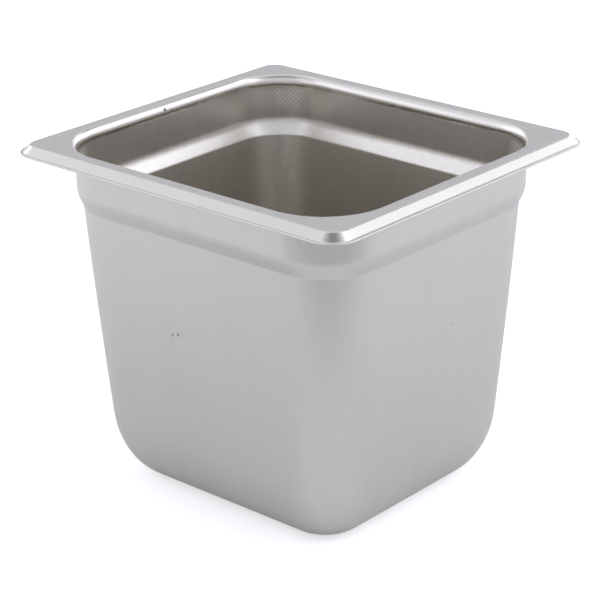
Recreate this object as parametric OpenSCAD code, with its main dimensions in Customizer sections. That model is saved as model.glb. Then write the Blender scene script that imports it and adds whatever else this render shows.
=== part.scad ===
// Sixth-size food pan, deep drawn from one sheet of stainless steel.
// A level flange runs round the opening. Outside it a bevel leads down to a small level lip.
// The wall drops from the flange, steps in at a stacking shoulder and tapers down to a rounded foot.
// The part stands on its floor: the origin is under the middle of the floor, and +Z is up.

/* [Overall] */
// Length over the lip, along X
pan_length = 176; // [160:1:325]
// Width over the lip, along Y
pan_width = 162; // [150:1:265]
// Height from the underside of the floor to the top of the flange
pan_height = 150; // [100:1:200]
// Thickness of the sheet
sheet = 0.8; // [0.6:0.1:1.2]

/* [Rim] */
// Corner radius of the lip
lip_r = 10.6; // [8:0.2:16]
// Width of the level lip outside the bevel
lip_w = 0.5; // [0.3:0.1:1.5]
// Depth of the lip's lower edge below the top of the flange
lip_drop = 4; // [3.6:0.1:6]
// Slope of the bevel between lip and flange, in degrees
bevel_slope = 43; // [35:1:55]
// Radius of the two bends that the bevel lies between
bevel_bend_r = 1.2; // [0.9:0.1:1.6]
// Distance from the edge of the lip to the bend into the opening
flange_end = 8.9; // [8.4:0.1:12]
// Width of the bend into the opening, seen from above
mouth_bend_w = 2.8; // [1.8:0.1:4]
// Height of the bend into the opening
mouth_bend_h = 3.8; // [3:0.1:6]
// Corner radius of the opening, below the bend
mouth_r = 26.6; // [20:0.1:32]

/* [Stacking shoulder] */
// Depth of the top of the shoulder below the flange
shoulder_top = 18.7; // [12:0.1:24]
// How far the shoulder steps the wall in
shoulder_step = 3.2; // [2.4:0.05:4.5]
// Loss of corner radius for each unit that the shoulder steps in
shoulder_corner_loss = 1.5; // [1:0.02:1.8]
// Radius of the bend above the shoulder's leaning face, on the food side
shoulder_top_r = 8; // [5:0.5:12]
// Lean of that face from upright, in degrees
shoulder_lean = 27.5; // [20:0.5:32]
// Radius of the bend below the face, on the food side
shoulder_foot_r = 2.5; // [2:0.5:6]

/* [Wall and foot] */
// How far the wall leans in between shoulder and foot
wall_taper = 5.8; // [4:0.05:7]
// Lean of the wall just under the shoulder, in degrees. It grows a little towards the foot.
wall_top_lean = 3.2; // [2.8:0.1:3.7]
// Reach of the rounded foot under the wall
foot_w = 19.8; // [14:0.2:26]
// Height of the rounded foot
foot_h = 33.4; // [20:0.2:40]
// Loss of corner radius for each unit that the foot reaches in
foot_corner_loss = 0.6; // [0.4:0.02:0.8]

/* [Smoothness] */
// Steps round each corner
corner_steps = 8; // [6:1:10]
// Steps across the bend into the opening
mouth_steps = 6; // [4:1:8]
// Steps round each of the shoulder's two bends
shoulder_steps = 3; // [2:1:4]
// Steps down the crowned wall
wall_steps = 5; // [3:1:6]
// Steps round the foot
foot_steps = 9; // [6:1:10]

/* [Hidden] */

level = 0;
straight_down = -90;
bend_steps = 3;
corners = 4;

// The food side of the sheet is drawn as a row of stations, from the edge of the lip over the flange
// and down to the floor. A station is [inset from the edge of the lip, height, corner radius, heading],
// and its heading is the slope that the sheet has there: level is 0, and straight down is -90.
function inset_of(s) = s[0];
function height_of(s) = s[1];
function radius_of(s) = s[2];
function heading_of(s) = s[3];

// Lip, bevel and flange
lip_z = pan_height - lip_drop + sheet;
bend_rise = bevel_bend_r * (1 - cos(bevel_slope));
bend_run = bevel_bend_r * sin(bevel_slope);
bevel_rise = pan_height - lip_z - 2 * bend_rise;
bevel_run = bevel_rise / tan(bevel_slope);
flange_start = lip_w + 2 * bend_run + bevel_run;
flange_end_r = mouth_r + mouth_bend_w;

// The rim turns twice by the bevel's slope: up out of the lip, then level again into the flange.
function rim_station(inset, z, heading) = [inset, z, lip_r - inset, heading];
lip = [rim_station(0, lip_z, level)];
lip_bend = [
  for (k = [0:bend_steps])
    let (turn = bevel_slope * k / bend_steps)
      rim_station(lip_w + bevel_bend_r * sin(turn), lip_z + bevel_bend_r * (1 - cos(turn)), turn)
];
flange_bend = [
  for (k = [bend_steps:-1:0])
    let (turn = bevel_slope * k / bend_steps)
      rim_station(
        flange_start - bevel_bend_r * sin(turn), pan_height - bevel_bend_r * (1 - cos(turn)), turn
      )
];

// Bend into the opening, a quarter of an ellipse
mouth_bend = [
  for (k = [0:mouth_steps])
    let (
      turn = 90 * k / mouth_steps,
      reach = mouth_bend_w * sin(turn),
      drop = mouth_bend_h * (1 - cos(turn))
    )
      [
        flange_end + reach,
        pan_height - drop,
        flange_end_r - reach,
        -atan2(mouth_bend_h * sin(turn), mouth_bend_w * cos(turn))
      ]
];

// Stacking shoulder: a bend, a leaning face and a bend into the wall
mouth_inset = flange_end + mouth_bend_w;
shoulder_z = pan_height - shoulder_top;
top_bend_w = shoulder_top_r * (1 - cos(shoulder_lean));
top_bend_h = shoulder_top_r * sin(shoulder_lean);
foot_bend_w = shoulder_foot_r * (cos(wall_top_lean) - cos(shoulder_lean));
foot_bend_h = shoulder_foot_r * (sin(shoulder_lean) - sin(wall_top_lean));
face_w = shoulder_step - top_bend_w - foot_bend_w;
face_h = face_w / tan(shoulder_lean);
function shoulder_station(inward, down, lean) =
  [
    mouth_inset + inward,
    shoulder_z - down,
    mouth_r - shoulder_corner_loss * inward,
    straight_down + lean
  ];
shoulder = concat(
  [
    for (k = [0:shoulder_steps])
      let (turn = shoulder_lean * k / shoulder_steps)
        shoulder_station(shoulder_top_r * (1 - cos(turn)), shoulder_top_r * sin(turn), turn)
  ],
  [
    for (k = [0:shoulder_steps])
      let (turn = shoulder_lean + (wall_top_lean - shoulder_lean) * k / shoulder_steps)
        shoulder_station(
          top_bend_w + face_w + shoulder_foot_r * (cos(turn) - cos(shoulder_lean)),
          top_bend_h + face_h + shoulder_foot_r * (sin(shoulder_lean) - sin(turn)),
          turn
        )
  ]
);

// Wall: tapered, with a slight outward crown. It ends where the foot's curve has the same slope.
wall_inset = mouth_inset + shoulder_step;
wall_r = mouth_r - shoulder_corner_loss * shoulder_step;
wall_z = shoulder_z - top_bend_h - face_h - foot_bend_h;
wall_h = wall_z - foot_h;
wall_crown = (wall_taper - wall_h * tan(wall_top_lean)) / 4;
wall_foot_slope = (wall_taper + 4 * wall_crown) / wall_h;
foot_inner_w = foot_w - sheet;
foot_inner_h = foot_h - sheet;
foot_turn = atan(wall_foot_slope * foot_inner_h / foot_inner_w);
wall_end_z = foot_h - foot_inner_h * sin(foot_turn);
wall = [
  for (k = [1:wall_steps])
    let (
      t = k / wall_steps,
      lean = wall_taper * t - 4 * wall_crown * t * (1 - t),
      slope = (wall_taper - 4 * wall_crown * (1 - 2 * t)) / wall_h
    )
      [
        wall_inset + lean,
        wall_z - (wall_z - wall_end_z) * t,
        wall_r,
        straight_down + atan(slope)
      ]
];

// Foot: a part of an ellipse from the wall to the level floor
foot_inset = wall_inset + wall_taper;
foot = [
  for (k = [1:foot_steps])
    let (
      turn = foot_turn + (90 - foot_turn) * k / foot_steps,
      reach = foot_inner_w * (cos(foot_turn) - cos(turn))
    )
      [
        foot_inset + reach,
        foot_h - foot_inner_h * sin(turn),
        wall_r - foot_corner_loss * reach,
        -atan2(foot_inner_h * cos(turn), foot_inner_w * sin(turn))
      ]
];

food_side = concat(lip, lip_bend, flange_bend, mouth_bend, shoulder, wall, foot);
last = len(food_side) - 1;

// The same station on the other side of the sheet, one thickness away square to it
function outside(s) =
  let (shift = sheet * sin(heading_of(s)))
    [
      inset_of(s) + shift,
      height_of(s) - sheet * cos(heading_of(s)),
      radius_of(s) - shift,
      heading_of(s)
    ];

// Stations in the order that they are skinned: up the outside, round the lip and down the inside
skin = concat([for (i = [last:-1:0]) outside(food_side[i])], food_side);

// The points of one station: a rectangle with round corners, counter-clockwise from above
function corner_sign_x(q) = q == 0 || q == 3 ? 1 : -1;
function corner_sign_y(q) = q < 2 ? 1 : -1;
function ring(s) =
  let (
    half_x = pan_length / 2 - inset_of(s) - radius_of(s),
    half_y = pan_width / 2 - inset_of(s) - radius_of(s)
  )
    [
      for (q = [0:corners - 1], k = [0:corner_steps])
        let (a = 90 * (q + k / corner_steps))
          [
            corner_sign_x(q) * half_x + radius_of(s) * cos(a),
            corner_sign_y(q) * half_y + radius_of(s) * sin(a),
            height_of(s)
          ]
    ];

per_ring = corners * (corner_steps + 1);
ring_count = len(skin);
function at(i, j) = i * per_ring + j % per_ring;

// Shell: triangles between neighbouring rings, closed by the floor's two faces
module shell() {
  points = [for (s = skin) each ring(s)];
  underside = [for (j = [0:per_ring - 1]) at(0, j)];
  floor_top = [for (j = [per_ring - 1:-1:0]) at(ring_count - 1, j)];
  sides = [
    for (i = [0:ring_count - 2], j = [0:per_ring - 1])
      each [
        [at(i, j), at(i + 1, j), at(i + 1, j + 1)],
        [at(i, j), at(i + 1, j + 1), at(i, j + 1)]
      ]
  ];
  polyhedron(points = points, faces = concat([underside], sides, [floor_top]), convexity = 6);
}

module pan() {
  color("silver") shell();
}

pan();
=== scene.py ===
import functools
import math
from typing import NamedTuple

import bpy
from mathutils import Matrix, Vector


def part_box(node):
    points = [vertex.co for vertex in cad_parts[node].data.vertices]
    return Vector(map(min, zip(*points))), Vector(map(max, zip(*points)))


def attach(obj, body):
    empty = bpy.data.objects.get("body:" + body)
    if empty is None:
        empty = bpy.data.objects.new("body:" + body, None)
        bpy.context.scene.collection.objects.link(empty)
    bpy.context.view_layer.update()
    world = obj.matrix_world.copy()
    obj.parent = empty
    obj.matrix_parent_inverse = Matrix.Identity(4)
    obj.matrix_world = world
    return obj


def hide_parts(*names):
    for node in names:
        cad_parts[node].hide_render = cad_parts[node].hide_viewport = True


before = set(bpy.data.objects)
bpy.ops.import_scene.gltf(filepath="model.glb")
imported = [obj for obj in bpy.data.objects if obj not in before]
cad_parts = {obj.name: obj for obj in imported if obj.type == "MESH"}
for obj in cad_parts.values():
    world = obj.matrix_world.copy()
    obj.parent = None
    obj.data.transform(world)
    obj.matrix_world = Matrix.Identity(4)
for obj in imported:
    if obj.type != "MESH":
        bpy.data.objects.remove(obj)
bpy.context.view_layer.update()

# ---------------------------------------------------------------------------------------------
# Sizes. The overall box comes from the pan part of model.glb. Lengths are in metres and angles in
# radians.
# ---------------------------------------------------------------------------------------------
MM = 0.001
STRAIGHT_DOWN = -math.pi / 2
pan_low, pan_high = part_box("pan")
half_length = (pan_high.x - pan_low.x) / 2
half_width = (pan_high.y - pan_low.y) / 2
top_z = pan_high.z

SHEET = 0.8 * MM  # thickness

# Rim: a level lip, a bevel, a level flange and a bend into the opening
LIP_R = 10.6 * MM
LIP_W = 0.5 * MM
LIP_DROP = 4.0 * MM  # depth of the lip's lower edge below the flange
LIP_EDGE_R = 0.3 * MM
BEVEL_SLOPE = math.radians(43)
BEVEL_BEND_R = 1.2 * MM
FLANGE_END = 8.9 * MM  # from the edge of the lip
MOUTH_BEND_W = 2.8 * MM
MOUTH_BEND_H = 3.8 * MM
MOUTH_R = 26.6 * MM

# Die line: a shallow groove round the opening. It is deepest at three places round the pan.
CREASE_DEPTH = 0.08 * MM
CREASE_H = 2.0 * MM
CREASE_TURN = math.radians(57)
CREASE_TURNS = 3
CREASE_LEAST = 0.2  # its least depth, as a share of CREASE_DEPTH

# Stacking shoulder: a bend, a leaning face and a bend into the wall
SHOULDER_TOP = 18.7 * MM  # below the flange
SHOULDER_STEP = 3.2 * MM
SHOULDER_TOP_R = 8 * MM
SHOULDER_LEAN = math.radians(27.5)
SHOULDER_FOOT_R = 2.5 * MM
SHOULDER_CORNER_LOSS = 1.5  # loss of corner radius for each unit that it steps in

# Wall and rounded foot
WALL_TAPER = 5.8 * MM  # how far the wall leans in
WALL_TOP_LEAN = math.radians(3.2)
FOOT_W = 19.8 * MM
FOOT_H = 33.4 * MM
FOOT_CORNER_LOSS = 0.6  # the same, for each unit that the foot reaches in

# How finely the sheet is meshed
CORNER_STEPS = 20
LONG_SIDE_STEPS = 22
SHORT_SIDE_STEPS = 18
BEND_STEPS = 6
MOUTH_STEPS = 14
CREASE_STEPS = 9
BAND_STEPS = 6
SHOULDER_STEPS = 8
FACE_STEPS = 4
WALL_STEPS = 22
FOOT_STEPS = 20
FLOOR_STEPS = 8


# ---------------------------------------------------------------------------------------------
# Section of the sheet
# ---------------------------------------------------------------------------------------------
def steps(count, first=0):
    """Fractions from first / count to 1."""
    return [k / count for k in range(first, count + 1)]


class Station(NamedTuple):
    """One ring of the sheet."""

    inset: float  # from the edge of the lip
    z: float
    r: float  # corner radius
    heading: float  # slope of the sheet: 0 is level and -pi / 2 is straight down
    crease: float = 0.0  # how far the die line sets the sheet back, where it is deepest


def shoulder_rows():
    """The shoulder as rows of (how far in, how far down, lean): a bend, a leaning face, a bend."""
    top_w = SHOULDER_TOP_R * (1 - math.cos(SHOULDER_LEAN))
    top_h = SHOULDER_TOP_R * math.sin(SHOULDER_LEAN)
    foot_bend_w = SHOULDER_FOOT_R * (math.cos(WALL_TOP_LEAN) - math.cos(SHOULDER_LEAN))
    face_w = SHOULDER_STEP - top_w - foot_bend_w
    face_h = face_w / math.tan(SHOULDER_LEAN)
    rows = []
    for f in steps(SHOULDER_STEPS):
        turn = SHOULDER_LEAN * f
        rows.append((SHOULDER_TOP_R * (1 - math.cos(turn)), SHOULDER_TOP_R * math.sin(turn), turn))
    for f in steps(FACE_STEPS, 1)[:-1]:
        rows.append((top_w + face_w * f, top_h + face_h * f, SHOULDER_LEAN))
    for f in steps(SHOULDER_STEPS):
        turn = SHOULDER_LEAN + (WALL_TOP_LEAN - SHOULDER_LEAN) * f
        rows.append((top_w + face_w + SHOULDER_FOOT_R * (math.cos(turn) - math.cos(SHOULDER_LEAN)),
                     top_h + face_h + SHOULDER_FOOT_R * (math.sin(SHOULDER_LEAN) - math.sin(turn)),
                     turn))
    return rows


def food_side():
    """The upper side of the sheet as stations, from the lip over the flange down to the floor."""
    row = []

    # Lip, bevel and the outer edge of the flange
    lip_z = top_z - LIP_DROP + SHEET
    bend_rise = BEVEL_BEND_R * (1 - math.cos(BEVEL_SLOPE))
    bend_run = BEVEL_BEND_R * math.sin(BEVEL_SLOPE)
    bevel_rise = top_z - lip_z - 2 * bend_rise
    bevel_run = bevel_rise / math.tan(BEVEL_SLOPE)
    flange_start = LIP_W + 2 * bend_run + bevel_run
    for f in steps(BEND_STEPS):
        turn = BEVEL_SLOPE * f
        inset = LIP_W + BEVEL_BEND_R * math.sin(turn)
        row.append(Station(inset, lip_z + BEVEL_BEND_R * (1 - math.cos(turn)), LIP_R - inset, turn))
    for f in reversed(steps(BEND_STEPS)):
        turn = BEVEL_SLOPE * f
        inset = flange_start - BEVEL_BEND_R * math.sin(turn)
        row.append(Station(inset, top_z - BEVEL_BEND_R * (1 - math.cos(turn)), LIP_R - inset, turn))

    # Bend into the opening
    for f in steps(MOUTH_STEPS):
        turn = math.pi / 2 * f
        reach = MOUTH_BEND_W * math.sin(turn)
        heading = -math.atan2(MOUTH_BEND_H * math.sin(turn), MOUTH_BEND_W * math.cos(turn))
        row.append(Station(FLANGE_END + reach, top_z - MOUTH_BEND_H * (1 - math.cos(turn)),
                           MOUTH_R + MOUTH_BEND_W - reach, heading))
    mouth_inset = FLANGE_END + MOUTH_BEND_W

    # Die line under the bend: the wall is set back sharply there and comes forward slowly
    crease_z = top_z - MOUTH_BEND_H
    for f in steps(CREASE_STEPS, 1):
        row.append(Station(mouth_inset, crease_z - CREASE_H * f * f, MOUTH_R, STRAIGHT_DOWN,
                           crease=CREASE_DEPTH * math.sin(math.pi * f) ** 2))
    band_z = crease_z - CREASE_H

    # Stacking shoulder
    shoulder_z = top_z - SHOULDER_TOP
    for f in steps(BAND_STEPS, 1)[:-1]:
        row.append(Station(mouth_inset, band_z - (band_z - shoulder_z) * f, MOUTH_R, STRAIGHT_DOWN))
    for inward, down, lean in shoulder_rows():
        row.append(Station(mouth_inset + inward, shoulder_z - down,
                           MOUTH_R - SHOULDER_CORNER_LOSS * inward, STRAIGHT_DOWN + lean))

    # Tapered wall with a slight crown
    wall_inset = mouth_inset + SHOULDER_STEP
    wall_r = MOUTH_R - SHOULDER_CORNER_LOSS * SHOULDER_STEP
    wall_z = row[-1].z
    wall_h = wall_z - FOOT_H
    crown = (WALL_TAPER - wall_h * math.tan(WALL_TOP_LEAN)) / 4
    foot_w, foot_h = FOOT_W - SHEET, FOOT_H - SHEET
    foot_turn = math.atan((WALL_TAPER + 4 * crown) / wall_h * foot_h / foot_w)
    wall_end_z = FOOT_H - foot_h * math.sin(foot_turn)
    for f in steps(WALL_STEPS, 1):
        inward = WALL_TAPER * f - 4 * crown * f * (1 - f)
        slope = (WALL_TAPER - 4 * crown * (1 - 2 * f)) / wall_h
        row.append(Station(wall_inset + inward, wall_z - (wall_z - wall_end_z) * f, wall_r,
                           STRAIGHT_DOWN + math.atan(slope)))

    # Rounded foot, then the level floor
    foot_inset = wall_inset + WALL_TAPER
    for f in steps(FOOT_STEPS, 1):
        turn = foot_turn + (math.pi / 2 - foot_turn) * f
        reach = foot_w * (math.cos(foot_turn) - math.cos(turn))
        row.append(Station(foot_inset + reach, FOOT_H - foot_h * math.sin(turn),
                           wall_r - FOOT_CORNER_LOSS * reach,
                           -math.atan2(foot_h * math.cos(turn), foot_w * math.sin(turn))))
    return row


def other_side(station):
    """The same station on the other side of the sheet."""
    shift = SHEET * math.sin(station.heading)
    return station._replace(inset=station.inset + shift, r=station.r - shift,
                            z=station.z - SHEET * math.cos(station.heading))


def lip_edge(lower_z, upper_z):
    """Stations round the trimmed edge of the lip, from its underside to its top."""
    row = []
    for f in steps(BEND_STEPS):
        turn = math.pi / 2 * f
        row.append((LIP_EDGE_R * (1 - math.sin(turn)), lower_z + LIP_EDGE_R * (1 - math.cos(turn))))
    for f in steps(BEND_STEPS):
        turn = math.pi / 2 * f
        row.append((LIP_EDGE_R * (1 - math.cos(turn)), upper_z - LIP_EDGE_R * (1 - math.sin(turn))))
    return [Station(inset, z, LIP_R - inset, 0.0) for inset, z in row]


# ---------------------------------------------------------------------------------------------
# Mesh
# ---------------------------------------------------------------------------------------------
def crease_share(angle):
    """How deep the die line is at this angle round the pan, as a share of its greatest depth."""
    fade = 0.5 + 0.5 * math.cos(CREASE_TURNS * (angle - CREASE_TURN))
    return CREASE_LEAST + (1 - CREASE_LEAST) * fade


def ring(s):
    """Points of one station: a rectangle with round corners, counter-clockwise from above."""
    straight_x = half_length - s.inset - s.r
    straight_y = half_width - s.inset - s.r
    points = []
    signs = ((1, 1), (-1, 1), (-1, -1), (1, -1))
    side_steps = (LONG_SIDE_STEPS, SHORT_SIDE_STEPS, LONG_SIDE_STEPS, SHORT_SIDE_STEPS)

    def add(centre, a):
        r = s.r + s.crease * crease_share(math.atan2(centre.y, centre.x))
        points.append((centre.x + r * math.cos(a), centre.y + r * math.sin(a), s.z))

    for quarter, (sx, sy) in enumerate(signs):
        centre = Vector((sx * straight_x, sy * straight_y))
        for k in range(CORNER_STEPS + 1):
            add(centre, math.pi / 2 * (quarter + k / CORNER_STEPS))
        nx, ny = signs[(quarter + 1) % 4]
        next_centre = Vector((nx * straight_x, ny * straight_y))
        for k in range(1, side_steps[quarter]):
            add(centre.lerp(next_centre, k / side_steps[quarter]), math.pi / 2 * (quarter + 1))
    return points


def shrunk(points, share):
    """The points drawn in towards the middle of the floor."""
    return [(x * share, y * share, z) for x, y, z in points]


def build_pan():
    """One closed mesh of the drawn sheet: both sides and the lip's edge, in quads."""
    inside = food_side()
    outside = [other_side(s) for s in inside]
    edge = lip_edge(outside[0].z, inside[0].z)
    skin = list(reversed(outside)) + edge + inside
    rings = [ring(s) for s in skin]
    shares = [1 - f for f in steps(FLOOR_STEPS, 1)[:-1]]
    rings = ([shrunk(rings[0], s) for s in reversed(shares)] + rings
             + [shrunk(rings[-1], s) for s in shares])
    count = len(rings[0])
    food_start = (len(rings) - len(inside) - len(shares)) * count
    points = [p for r in rings for p in r]

    faces = []
    for i in range(len(rings) - 1):
        for j in range(count):
            k = (j + 1) % count
            faces.append((i * count + j, i * count + k, (i + 1) * count + k, (i + 1) * count + j))
    points.append((0, 0, rings[0][0][2]))
    points.append((0, 0, rings[-1][0][2]))
    below, above = len(points) - 2, len(points) - 1
    top = (len(rings) - 1) * count
    for j in range(count):
        k = (j + 1) % count
        faces.append((below, k, j))
        faces.append((above, top + j, top + k))

    mesh = bpy.data.meshes.new("drawn_pan")
    mesh.from_pydata(points, [], faces)
    mesh.validate()
    mesh.update()
    mesh.shade_smooth()
    on_food_side = [float(i >= food_start) for i in range(len(points))]
    on_food_side[below] = 0.0
    mesh.attributes.new("food_side", "FLOAT", "POINT").data.foreach_set("value", on_food_side)
    piece = bpy.data.objects.new("drawn_pan", mesh)
    bpy.context.scene.collection.objects.link(piece)
    return piece


# ---------------------------------------------------------------------------------------------
# Materials
# ---------------------------------------------------------------------------------------------
STEEL_COLOR = (0.71, 0.67, 0.615)
STEEL_ROUGHNESS = 0.36
RIM_ROUGHNESS = 0.28
RUST_COLOR = (0.10, 0.045, 0.03)
RIM_RUBBED_Z = (-6.5 * MM, -4.5 * MM)  # the rim gets smoother between these heights from its top

# Sizes of the patterns in the finish
STREAK_W = 0.9 * MM
STREAK_STRETCH = 28
BROAD_STREAK_W = 3.6 * MM
SMUDGE = 48 * MM
CLOUD = 13 * MM
GRAIN = 0.35 * MM
MOTTLE = 1.1 * MM
WAVE = 45 * MM

# Drawing marks: slanting scratches in the inner corners, above the shoulder. They lie between two
# depths below the flange, and fade in over a run at either end.
MARK_PITCH = 2.0 * MM
MARK_LOW, MARK_HIGH = 19 * MM, 5 * MM
MARK_LOW_RUN, MARK_HIGH_RUN = 9 * MM, 1.8 * MM
MARK_WANDER, MARK_WANDER_SIZE = 0.25 * MM, 6 * MM
MARK_GAP_SIZE = 4 * MM
MARK_GAPS = (-0.35, 0.25)  # noise values between which a scratch comes in
MARK_CREST = (0.55, 0.95)  # share of the sine's height between which a scratch comes in
MARK_CORE = 0.6
SCRATCHED = (((-62.3, 66.1, 138.5), 11), ((-75.4, -50.0, 141), 10), ((63.5, 65.4, 140), 9))
CORNER_EDGE = (0.15, 0.5)  # angles between which the dull patch of a corner fades in

# Painted shade: a dark, broken line of shade painted into the die-line groove
GROOVE_SHADE_Z = -4.5 * MM
GROOVE_SHADE_H = 0.45 * MM
GROOVE_SHADE_CORE = 0.3
GROOVE_SHADE_WANDER, GROOVE_SHADE_WANDER_SIZE = 0.35 * MM, 9 * MM
GROOVE_SHADE_GAP_SIZE = 7 * MM
GROOVE_SHADE_GAPS = (-0.25, 0.3)

# Small blemishes: place in millimetres, radius in millimetres
RUST_DOTS = (((-77.1, -1.6, 147.6), 1.3), ((-76.6, 2.4, 146.8), 0.7))
WALL_SPECKS = (((-13.9, -64.8, 79.6), 1.0), ((-10.6, -64.8, 80.6), 1.1), ((72.0, 9.4, 83.3), 0.7))
RIM_NICKS = (((3.0, -73.6, 150), 1.6), ((8.0, -74.2, 150), 1.2), ((11.5, -74.6, 150), 1.3),
             ((63.0, -70.3, 150), 1.1), ((67.5, -66.0, 150), 1.2))
SPOT_CORE = 0.35
NICK_GAP_SIZE = 0.8 * MM
NICK_GAPS = (-0.3, 0.2)

# What each pattern adds to the steel where the pattern is 1. Tone is a share of its colour, and
# height is in metres.
ADDED_TONE = {
    "streaks": 0.02, "broad_streaks": 0.018, "mottle": 0.09, "smudges": 0.025, "clouds": 0.015,
    # The darkening of the die-line groove in this row is painted shade.
    "scratches": 0.9, "groove_shade": -0.45, "specks": -0.55, "nicks": -0.3,
}
ADDED_ROUGHNESS = {
    "rim": RIM_ROUGHNESS - STEEL_ROUGHNESS, "streaks": 0.02, "smudges": 0.03, "clouds": 0.02,
    "dull": 0.12, "rust": 0.3,
}
ADDED_HEIGHT = {
    "streaks": 4e-6, "grain": 5e-7, "mottle": 5e-6, "waves": 4e-5, "scratches": -1.2e-5,
    "specks": -6e-5, "nicks": -5e-5,
}

# The table top's colour is a little darker round the pan: painted shade. The camera sees it lightened
# by FLOOR_GLOW.
FLOOR_ALBEDO_NEAR, FLOOR_ALBEDO_FAR = 0.79, 0.88
FLOOR_FADE_START, FLOOR_FADE_END = 0.27, 0.42
FLOOR_ROUGHNESS = 0.9
FLOOR_GLOW = 0.5


class Nodes:
    """Short calls for building a node tree."""

    def __init__(self, tree):
        self.tree = tree
        tree.nodes.clear()

    def add(self, kind, inputs=None, **settings):
        """A new node. Its inputs are given as values or as sockets to link from."""
        node = self.tree.nodes.new(kind)
        for name, value in settings.items():
            setattr(node, name, value)
        for name, value in (inputs or {}).items():
            socket = node.inputs[name]
            if isinstance(value, bpy.types.NodeSocket):
                self.tree.links.new(value, socket)
            else:
                socket.default_value = value
        return node

    def math(self, operation, *values):
        return self.add("ShaderNodeMath", dict(enumerate(values)), operation=operation).outputs[0]

    def plus(self, *values):
        return functools.reduce(lambda a, b: self.math("ADD", a, b), values)

    def times(self, *values):
        return functools.reduce(lambda a, b: self.math("MULTIPLY", a, b), values)

    def minus(self, a, b):
        return self.math("SUBTRACT", a, b)

    def vector(self, operation, a, b):
        return self.add("ShaderNodeVectorMath", {0: a, 1: b}, operation=operation)

    def rise(self, value, start, end):
        """0 up to start and 1 from end on. Where start is the larger, it falls instead."""
        inputs = {"Value": value, "From Min": min(start, end), "From Max": max(start, end)}
        ramp = self.add("ShaderNodeMapRange", inputs, interpolation_type="SMOOTHSTEP").outputs["Result"]
        return ramp if start < end else self.minus(1, ramp)

    def noise(self, vector, size, detail=2.0):
        """Noise from -1 to 1. Its features are about size wide."""
        inputs = {"Vector": vector, "Scale": 0.5 / size, "Detail": detail}
        return self.math("MULTIPLY_ADD", self.add("ShaderNodeTexNoise", inputs).outputs[0], 2, -1)


def spots(n, position, places, core=SPOT_CORE):
    """1 at each of the places, falling to 0 at its radius. Places and radii are in millimetres."""
    marks = []
    for place, radius in places:
        centre = tuple(v * MM for v in place)
        distance = n.vector("DISTANCE", position, centre).outputs["Value"]
        marks.append(n.rise(distance, radius * MM, radius * core * MM))
    return functools.reduce(lambda a, b: n.math("MAXIMUM", a, b), marks)


def corner_marks(n, position, x, y, z, food_side):
    """Drawing marks in the inner corners: how dull the steel is there, and the scratches on it."""
    inset = FLANGE_END + MOUTH_BEND_W + MOUTH_R
    across_x = n.minus(n.math("ABSOLUTE", x), half_length - inset)
    across_y = n.minus(n.math("ABSOLUTE", y), half_width - inset)
    angle = n.math("ARCTAN2", across_y, across_x)
    turning = n.times(angle, n.math("SIGN", x), n.math("SIGN", y))
    start, end = CORNER_EDGE
    in_corner = n.times(n.rise(angle, start, end),
                        n.rise(angle, math.pi / 2 - start, math.pi / 2 - end))
    height = n.times(n.rise(z, top_z - MARK_LOW, top_z - MARK_LOW + MARK_LOW_RUN),
                     n.rise(z, top_z - MARK_HIGH, top_z - MARK_HIGH - MARK_HIGH_RUN))
    zone = n.times(in_corner, height, food_side)

    slant = n.plus(n.times(turning, MOUTH_R), z)
    slant = n.plus(slant, n.times(n.noise(position, MARK_WANDER_SIZE), MARK_WANDER))
    wave = n.math("SINE", n.times(slant, 2 * math.pi / MARK_PITCH))
    broken = n.rise(n.noise(position, MARK_GAP_SIZE), *MARK_GAPS)
    patches = spots(n, position, SCRATCHED, core=MARK_CORE)
    return zone, n.times(n.rise(wave, *MARK_CREST), broken, zone, patches)


def groove_shade(n, position, z, food_side):
    """How strongly the painted shade line in the die-line groove shows: it wanders a little up and
    down, and fades in places.
    """
    wander = n.times(n.noise(position, GROOVE_SHADE_WANDER_SIZE), GROOVE_SHADE_WANDER)
    off = n.math("ABSOLUTE", n.plus(z, wander, -(top_z + GROOVE_SHADE_Z)))
    broken = n.rise(n.noise(position, GROOVE_SHADE_GAP_SIZE, detail=4.0), *GROOVE_SHADE_GAPS)
    return n.times(n.rise(off, GROOVE_SHADE_H, GROOVE_SHADE_CORE * GROOVE_SHADE_H), broken, food_side)


def steel_patterns(n):
    """The patterns of the finish by name, each from 0 to 1 or from -1 to 1."""
    position = n.add("ShaderNodeTexCoord").outputs["Object"]
    x, y, z = n.add("ShaderNodeSeparateXYZ", {0: position}).outputs
    food_side = n.add("ShaderNodeAttribute", attribute_name="food_side").outputs["Fac"]
    upright = n.vector("MULTIPLY", position, (1, 1, 1 / STREAK_STRETCH)).outputs[0]

    # Handling has rubbed the rim smooth, so streaks, grain and waves are left to the walls
    rim = n.rise(z, top_z + RIM_RUBBED_Z[0], top_z + RIM_RUBBED_Z[1])
    walls = n.minus(1, rim)
    dull, scratches = corner_marks(n, position, x, y, z, food_side)
    broken = n.rise(n.noise(position, NICK_GAP_SIZE), *NICK_GAPS)
    return {
        "streaks": n.times(n.noise(upright, STREAK_W, detail=3.0), walls),
        "broad_streaks": n.times(n.noise(upright, BROAD_STREAK_W), walls),
        "grain": n.times(n.noise(position, GRAIN, detail=1.0), walls),
        "mottle": n.times(n.noise(position, MOTTLE, detail=3.0), walls, food_side),
        "smudges": n.noise(position, SMUDGE, detail=3.0),
        "clouds": n.noise(position, CLOUD, detail=3.0),
        "waves": n.times(n.noise(position, WAVE, detail=1.0), walls),
        "rim": rim,
        "dull": dull,
        "scratches": scratches,
        # Painted shade: a dark line in the die-line groove
        "groove_shade": groove_shade(n, position, z, food_side),
        "rust": spots(n, position, RUST_DOTS),
        "specks": spots(n, position, WALL_SPECKS),
        "nicks": n.times(spots(n, position, RIM_NICKS), broken),
    }


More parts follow.
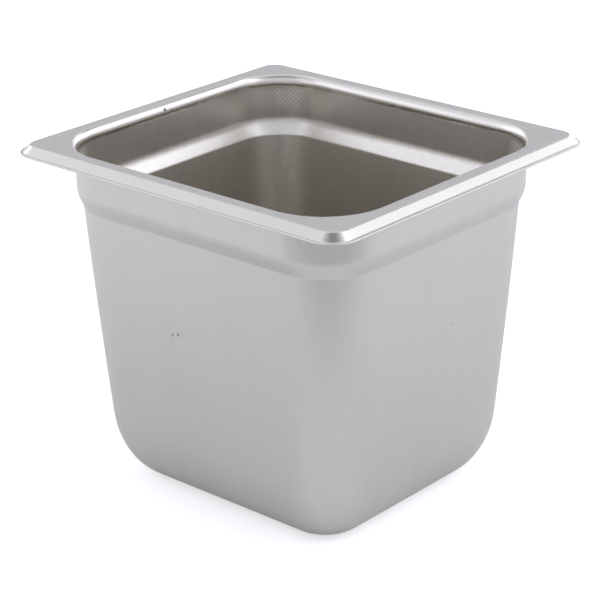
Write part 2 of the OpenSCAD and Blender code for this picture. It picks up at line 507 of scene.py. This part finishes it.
def steel_material():
    """Satin steel: upright streaks, a smoother rim, drawing marks and small blemishes."""
    material = bpy.data.materials.new("satin_steel")
    material.use_nodes = True
    n = Nodes(material.node_tree)
    patterns = steel_patterns(n)

    def total(base, added):
        return n.plus(base, *(n.times(patterns[name], amount) for name, amount in added.items()))

    tone = total(1, ADDED_TONE)
    plain = n.add("ShaderNodeVectorMath", {0: STEEL_COLOR, "Scale": tone}, operation="SCALE")
    color = n.add("ShaderNodeMix", {"Factor": patterns["rust"], "A": plain.outputs[0], "B": RUST_COLOR},
                  data_type="VECTOR").outputs[1]
    bump = n.add("ShaderNodeBump", {"Height": total(0, ADDED_HEIGHT), "Distance": 1.0, "Strength": 1.0})
    shader = n.add("ShaderNodeBsdfPrincipled", {
        "Base Color": color,
        "Metallic": 1.0,
        "Roughness": total(STEEL_ROUGHNESS, ADDED_ROUGHNESS),
        "Normal": bump.outputs["Normal"],
    })
    n.add("ShaderNodeOutputMaterial", {"Surface": shader.outputs["BSDF"]})
    return material


def floor_material():
    """Matt white, with painted shade round the pan. Its own glow is for the camera only and lights
    nothing.
    """
    material = bpy.data.materials.new("studio_floor")
    material.use_nodes = True
    n = Nodes(material.node_tree)
    position = n.add("ShaderNodeTexCoord").outputs["Object"]
    distance = n.vector("DISTANCE", position, (0, 0, 0)).outputs["Value"]
    # Painted shade: the colour is darker near the pan and lighter further out
    far = n.rise(distance, FLOOR_FADE_START, FLOOR_FADE_END)
    albedo = n.plus(FLOOR_ALBEDO_NEAR, n.times(far, FLOOR_ALBEDO_FAR - FLOOR_ALBEDO_NEAR))
    camera_ray = n.add("ShaderNodeLightPath").outputs["Is Camera Ray"]
    shader = n.add("ShaderNodeBsdfPrincipled", {
        "Base Color": albedo,
        "Roughness": FLOOR_ROUGHNESS,
        "Emission Color": (1, 1, 1, 1),
        "Emission Strength": n.times(camera_ray, FLOOR_GLOW),
    })
    n.add("ShaderNodeOutputMaterial", {"Surface": shader.outputs["BSDF"]})
    return material


# ---------------------------------------------------------------------------------------------
# Camera, light and floor
# ---------------------------------------------------------------------------------------------
CAMERA_AT = Vector((0.5621, -0.6377, 0.4263))
CAMERA_YAW = math.radians(41.47)
CAMERA_PITCH = math.radians(22.26)
CAMERA_ROLL = math.radians(-0.77)
LENS_MM = 130.2
SENSOR_MM = 36

# The way from the camera to the pan, counter-clockwise from +X
FORWARD_AZIMUTH = math.radians(131.4)
ROOM_TINT = (0.955, 1.0, 1.115, 1)

# How far the table top reaches from the pan: towards the camera, away from it and to each side
TABLE_NEAR, TABLE_FAR, TABLE_SIDE = 0.25, 1.5, 1.5


class Panel(NamedTuple):
    """A soft source in the room, in degrees."""

    name: str  # a label for the reader
    turn: float  # clockwise from the way the camera looks
    half_width: float
    low: float  # height above the horizon of its lower edge
    high: float
    edge: float  # width of its soft edge
    strength: float


PANELS = (
    Panel("room_behind_the_pan", 0, 100, -90, 32, 10, 0.65),
    Panel("room_behind_the_camera", 180, 80, -90, 14, 10, 0.55),
    Panel("wall_behind_the_camera", 180, 50, 14, 50, 10, 0.85),
    Panel("under_the_ceiling", 0, 60, 32, 52, 10, 0.2),
    Panel("under_the_ceiling_middle", 0, 28, 32, 52, 10, 0.6),
    Panel("ceiling_far", 0, 90, 52, 96, 12, 0.95),
    Panel("ceiling_near", 180, 120, 52, 72, 12, 0.55),
    Panel("ceiling_near_middle", 180, 90, 72, 96, 12, 0.1),
    Panel("softbox_right", 98, 37, 28, 54, 8, 1.9),
    Panel("softbox_right_foot", 92, 42, 8, 28, 8, 0.9),
    Panel("softbox_left", 250, 25, 6, 50, 8, 0.95),
    Panel("reflector_left", 300, 28, -4, 50, 10, 0.93),
    Panel("reflector_right", 45, 28, -4, 34, 10, 0.95),
)


def make_camera():
    """The camera, which stands in front of the pan's near corner and looks down at it."""
    forward = Vector((-math.cos(CAMERA_PITCH) * math.sin(CAMERA_YAW),
                      math.cos(CAMERA_PITCH) * math.cos(CAMERA_YAW),
                      -math.sin(CAMERA_PITCH)))
    level_right = forward.cross(Vector((0, 0, 1))).normalized()
    level_up = level_right.cross(forward)
    right = math.cos(CAMERA_ROLL) * level_right + math.sin(CAMERA_ROLL) * level_up
    up = right.cross(forward)
    data = bpy.data.cameras.new("camera")
    data.lens = LENS_MM
    data.sensor_width = SENSOR_MM
    data.clip_start = 0.05
    data.clip_end = 100
    camera = bpy.data.objects.new("camera", data)
    turned = Matrix((right, up, -forward)).transposed().to_4x4()
    camera.matrix_world = Matrix.Translation(CAMERA_AT) @ turned
    bpy.context.scene.collection.objects.link(camera)
    bpy.context.scene.camera = camera


def window(n, value, low, high, edge):
    """1 between low and high, with soft edges."""
    return n.times(n.rise(value, low - edge / 2, low + edge / 2),
                   n.rise(value, high + edge / 2, high - edge / 2))


def make_world():
    """A white room with soft light panels. The camera itself sees it as plain white."""
    world = bpy.data.worlds.new("studio")
    world.use_nodes = True
    n = Nodes(world.node_tree)
    direction = n.add("ShaderNodeTexCoord").outputs["Generated"]
    x, y, z = n.add("ShaderNodeSeparateXYZ", {0: direction}).outputs
    azimuth = n.math("ARCTAN2", y, x)
    elevation = n.math("ARCSINE", z)
    light = 0.0
    for p in PANELS:
        edge = math.radians(p.edge)
        off = n.minus(azimuth, FORWARD_AZIMUTH - math.radians(p.turn))
        off = n.math("ABSOLUTE", n.math("WRAP", off, math.pi, -math.pi))
        width = math.radians(p.half_width)
        shape = n.times(window(n, elevation, math.radians(p.low), math.radians(p.high), edge),
                        n.rise(off, width + edge / 2, width - edge / 2))
        light = n.plus(light, n.times(shape, p.strength))
    camera_ray = n.add("ShaderNodeLightPath").outputs["Is Camera Ray"]
    lit = n.add("ShaderNodeBackground", {"Color": ROOM_TINT, "Strength": light})
    white = n.add("ShaderNodeBackground", {"Color": (1, 1, 1, 1), "Strength": 1.0})
    mix = n.add("ShaderNodeMixShader", {0: camera_ray, 1: lit.outputs[0], 2: white.outputs[0]})
    n.add("ShaderNodeOutputWorld", {"Surface": mix.outputs[0]})
    bpy.context.scene.world = world


def make_floor():
    """A white table top. Its near edge lies outside the camera's view."""
    forward = Vector((math.cos(FORWARD_AZIMUTH), math.sin(FORWARD_AZIMUTH), 0))
    right = Vector((forward.y, -forward.x, 0))
    corners = [forward * along + right * across
               for along, across in ((-TABLE_NEAR, -TABLE_SIDE), (-TABLE_NEAR, TABLE_SIDE),
                                     (TABLE_FAR, TABLE_SIDE), (TABLE_FAR, -TABLE_SIDE))]
    mesh = bpy.data.meshes.new("floor")
    mesh.from_pydata(corners, [], [(0, 1, 2, 3)])
    floor = bpy.data.objects.new("floor", mesh)
    floor.data.materials.append(floor_material())
    bpy.context.scene.collection.objects.link(floor)


pan = build_pan()
pan.data.materials.append(steel_material())
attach(pan, "root")
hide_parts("pan")

make_camera()
make_world()
make_floor()
bpy.context.scene.view_settings.view_transform = "Standard"
